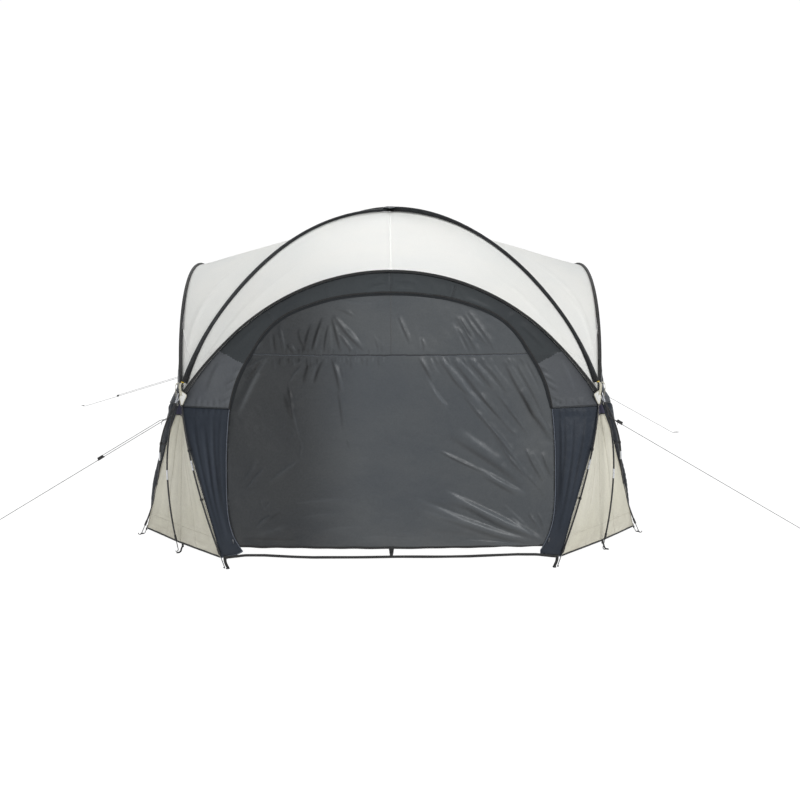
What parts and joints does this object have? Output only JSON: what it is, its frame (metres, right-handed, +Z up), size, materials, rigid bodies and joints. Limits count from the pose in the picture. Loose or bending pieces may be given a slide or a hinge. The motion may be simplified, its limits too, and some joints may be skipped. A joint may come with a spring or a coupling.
{
  "type": "tarp shelter",
  "caption": "Square dome tarp shelter on crossing poles, with arched sides, lift-up zipped doors, corner panels and guy ropes.",
  "frame": {"origin": "middle of the footprint, on the floor", "axes": "+Z up; -Y looks out of the front side and +X is to the right seen from in front"},
  "size_m": [7.715, 6.5539, 2.5702],
  "materials": {
    "fibreglass": "smooth satin black pole tube",
    "steel": "bright drawn steel sleeve",
    "shock_cord": "covered elastic cord",
    "black_plastic": "moulded, matt",
    "zinc_steel": "zinc plated, dull",
    "yellow_plastic": "moulded, satin",
    "black_webbing": "ribbed polyester webbing",
    "white_fabric": "coated woven polyester, faint sheen",
    "dark_fabric": "coated woven polyester, dark grey",
    "black_binding": "folded binding tape",
    "wall_fabric": "woven polyester, mid grey, slight sheen",
    "slate_fabric": "woven polyester, blue grey",
    "cream_fabric": "coated woven polyester, cream",
    "cream_webbing": "flat cream tape",
    "zip_metal": "painted die casting, worn",
    "rope": "braided cord, light grey"
  },
  "bodies": {
    "shelter": {"diagonal_pole_a": "fibreglass", "diagonal_pole_b": "fibreglass", "arch_pole_front": "fibreglass", "arch_pole_rear": "fibreglass", "arch_pole_left": "fibreglass", "arch_pole_right": "fibreglass", "pole_ferrules": "steel", "shock_cords": "shock_cord", "pole_tips": "black_plastic", "foot_pins": "zinc_steel", "foot_tabs": "black_webbing", "peg_eyelets": "zinc_steel", "pole_clips": "black_plastic", "roof_panel_front": "white_fabric", "roof_panel_right": "white_fabric", "roof_panel_rear": "white_fabric", "roof_panel_left": "white_fabric", "diagonal_sleeves": "dark_fabric", "arch_sleeves": "dark_fabric", "eave_band_front": "dark_fabric", "eave_band_right": "dark_fabric", "eave_band_rear": "dark_fabric", "eave_band_left": "dark_fabric", "door_top_front": "wall_fabric", "door_top_right": "wall_fabric", "door_top_rear": "wall_fabric", "door_top_left": "wall_fabric", "side_wings": "slate_fabric", "corner_panels": "cream_fabric", "corner_caps": "wall_fabric", "corner_straps": "cream_webbing", "corner_rings": "yellow_plastic", "ground_straps": "black_webbing", "zip_tapes": "black_binding", "guy_tabs": "black_webbing", "guy_rope_front_left": "rope", "guy_rope_front_right": "rope", "guy_rope_rear_left": "rope", "guy_rope_rear_right": "rope"},
    "door_front": {"door_front": "wall_fabric", "door_hem_front": "black_binding"},
    "door_right": {"door_right": "wall_fabric", "door_hem_right": "black_binding"},
    "door_rear": {"door_rear": "wall_fabric", "door_hem_rear": "black_binding"},
    "door_left": {"door_left": "wall_fabric", "door_hem_left": "black_binding"},
    "zip_slider_front_a": {"zip_slider_front_a": "zip_metal"},
    "zip_slider_front_b": {"zip_slider_front_b": "zip_metal"},
    "zip_slider_right_a": {"zip_slider_right_a": "zip_metal"},
    "zip_slider_right_b": {"zip_slider_right_b": "zip_metal"},
    "zip_slider_rear_a": {"zip_slider_rear_a": "zip_metal"},
    "zip_slider_rear_b": {"zip_slider_rear_b": "zip_metal"},
    "zip_slider_left_a": {"zip_slider_left_a": "zip_metal"},
    "zip_slider_left_b": {"zip_slider_left_b": "zip_metal"},
    "guy_adjuster_front_left": {"guy_adjuster_front_left": "black_plastic"},
    "guy_adjuster_front_right": {"guy_adjuster_front_right": "black_plastic"},
    "guy_adjuster_rear_left": {"guy_adjuster_rear_left": "black_plastic"},
    "guy_adjuster_rear_right": {"guy_adjuster_rear_right": "black_plastic"}
  },
  "joints": [
    {"name": "door_front_lift", "type": "hinge", "parent": "shelter", "child": "door_front", "pos_m": [0, -1.7333, 1.48], "axis": [-1, 0, 0], "range_deg": [0, 95]},
    {"name": "zip_front_a_run", "type": "hinge", "parent": "shelter", "child": "zip_slider_front_a", "pos_m": [0.72649, -2.17655, 0.83278], "axis": [0.2349, 0.9406, -0.245], "range_deg": [0, 25]},
    {"name": "zip_front_b_run", "type": "hinge", "parent": "shelter", "child": "zip_slider_front_b", "pos_m": [-0.72649, -2.17655, 0.83278], "axis": [0.2349, -0.9406, 0.245], "range_deg": [0, 25]},
    {"name": "door_right_lift", "type": "hinge", "parent": "shelter", "child": "door_right", "pos_m": [1.7333, 0, 1.48], "axis": [0, -1, 0], "range_deg": [0, 95]},
    {"name": "zip_right_a_run", "type": "hinge", "parent": "shelter", "child": "zip_slider_right_a", "pos_m": [2.17655, 0.72649, 0.83278], "axis": [-0.9406, 0.2349, -0.245], "range_deg": [0, 25]},
    {"name": "zip_right_b_run", "type": "hinge", "parent": "shelter", "child": "zip_slider_right_b", "pos_m": [2.17655, -0.72649, 0.83278], "axis": [0.9406, 0.2349, 0.245], "range_deg": [0, 25]},
    {"name": "door_rear_lift", "type": "hinge", "parent": "shelter", "child": "door_rear", "pos_m": [0, 1.7333, 1.48], "axis": [1, 0, 0], "range_deg": [0, 95]},
    {"name": "zip_rear_a_run", "type": "hinge", "parent": "shelter", "child": "zip_slider_rear_a", "pos_m": [-0.72649, 2.17655, 0.83278], "axis": [-0.2349, -0.9406, -0.245], "range_deg": [0, 25]},
    {"name": "zip_rear_b_run", "type": "hinge", "parent": "shelter", "child": "zip_slider_rear_b", "pos_m": [0.72649, 2.17655, 0.83278], "axis": [-0.2349, 0.9406, 0.245], "range_deg": [0, 25]},
    {"name": "door_left_lift", "type": "hinge", "parent": "shelter", "child": "door_left", "pos_m": [-1.7333, 0, 1.48], "axis": [0, 1, 0], "range_deg": [0, 95]},
    {"name": "zip_left_a_run", "type": "hinge", "parent": "shelter", "child": "zip_slider_left_a", "pos_m": [-2.17655, -0.72649, 0.83278], "axis": [0.9406, -0.2349, -0.245], "range_deg": [0, 25]},
    {"name": "zip_left_b_run", "type": "hinge", "parent": "shelter", "child": "zip_slider_left_b", "pos_m": [-2.17655, 0.72649, 0.83278], "axis": [-0.9406, -0.2349, 0.245], "range_deg": [0, 25]},
    {"name": "adjuster_front_left_slide", "type": "slide", "parent": "shelter", "child": "guy_adjuster_front_left", "axis": [-0.8522, -0.1404, -0.5041], "range_m": [-0.45, 1.1]},
    {"name": "adjuster_front_right_slide", "type": "slide", "parent": "shelter", "child": "guy_adjuster_front_right", "axis": [0.8591, -0.1424, -0.4916], "range_m": [0, 1.4]},
    {"name": "adjuster_rear_left_slide", "type": "slide", "parent": "shelter", "child": "guy_adjuster_rear_left", "axis": [-0.644, 0.7215, -0.2543], "range_m": [-2.6, 0.6]},
    {"name": "adjuster_rear_right_slide", "type": "slide", "parent": "shelter", "child": "guy_adjuster_rear_right", "axis": [0.7755, 0.4465, -0.4464], "range_m": [0, 1.5]}
  ]
}
